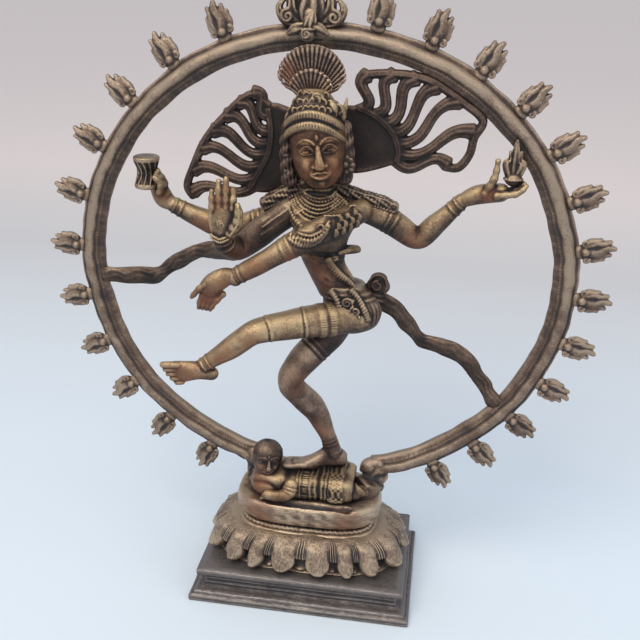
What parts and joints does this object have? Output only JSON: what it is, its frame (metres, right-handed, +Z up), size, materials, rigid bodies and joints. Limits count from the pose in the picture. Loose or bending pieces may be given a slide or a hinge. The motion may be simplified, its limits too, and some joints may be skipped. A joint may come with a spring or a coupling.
{
  "type": "dancing figure statue in a flame ring",
  "caption": "Cast brass statue of a many-armed dancer standing on a prone dwarf and a lotus base, framed by a tall ring set with flames; a free-standing ornament.",
  "frame": {"origin": "on the floor under the middle of the base", "axes": "+X to the viewer's right, +Y away from the viewer, +Z up"},
  "size_m": [0.2883, 0.08, 0.3182],
  "materials": {
    "aged_brass": "antique brass, brown patina with rubbed high points",
    "rubbed_brass": "antique brass worn to golden tan on the high points, dark in the hollows",
    "dark_brass": "brass under a near-black patina",
    "base_brass": "grey-brown antique brass with polished edges"
  },
  "bodies": {
    "root": {"crest_fan": "aged_brass", "crossing_arm": "rubbed_brass", "crossing_hand": "rubbed_brass", "crown": "aged_brass", "dais": "rubbed_brass", "drum": "aged_brass", "drum_arm": "aged_brass", "drum_hand": "aged_brass", "dwarf_arm": "rubbed_brass", "dwarf_body": "rubbed_brass", "dwarf_head": "aged_brass", "ear_pendant": "aged_brass", "ear_rosette": "aged_brass", "elbow_sash": "dark_brass", "flame_arm": "rubbed_brass", "flame_hand": "aged_brass", "flame_left_01": "aged_brass", "flame_left_02": "aged_brass", "flame_left_03": "aged_brass", "flame_left_04": "aged_brass", "flame_left_05": "aged_brass", "flame_left_06": "aged_brass", "flame_left_07": "aged_brass", "flame_left_08": "aged_brass", "flame_left_09": "aged_brass", "flame_left_10": "aged_brass", "flame_left_11": "aged_brass", "flame_right_01": "aged_brass", "flame_right_02": "aged_brass", "flame_right_03": "aged_brass", "flame_right_04": "aged_brass", "flame_right_05": "aged_brass", "flame_right_06": "aged_brass", "flame_right_07": "aged_brass", "flame_right_08": "aged_brass", "flame_right_09": "aged_brass", "flame_right_10": "aged_brass", "flame_right_11": "aged_brass", "flame_right_12": "aged_brass", "flame_right_13": "aged_brass", "gesture_arm": "aged_brass", "gesture_hand": "rubbed_brass", "hair_fan_left": "dark_brass", "hair_fan_right": "dark_brass", "head": "rubbed_brass", "hip_knot": "aged_brass", "hip_sash": "dark_brass", "hips": "rubbed_brass", "lotus_seat": "base_brass", "palm_flame": "aged_brass", "plinth": "base_brass", "raised_leg": "rubbed_brass", "ring_clasp": "aged_brass", "ring_finial": "aged_brass", "ring_left": "aged_brass", "ring_right": "aged_brass", "shoulder_lock_left": "aged_brass", "shoulder_lock_right": "aged_brass", "standing_leg": "aged_brass", "torso": "rubbed_brass"}
  },
  "joints": []
}
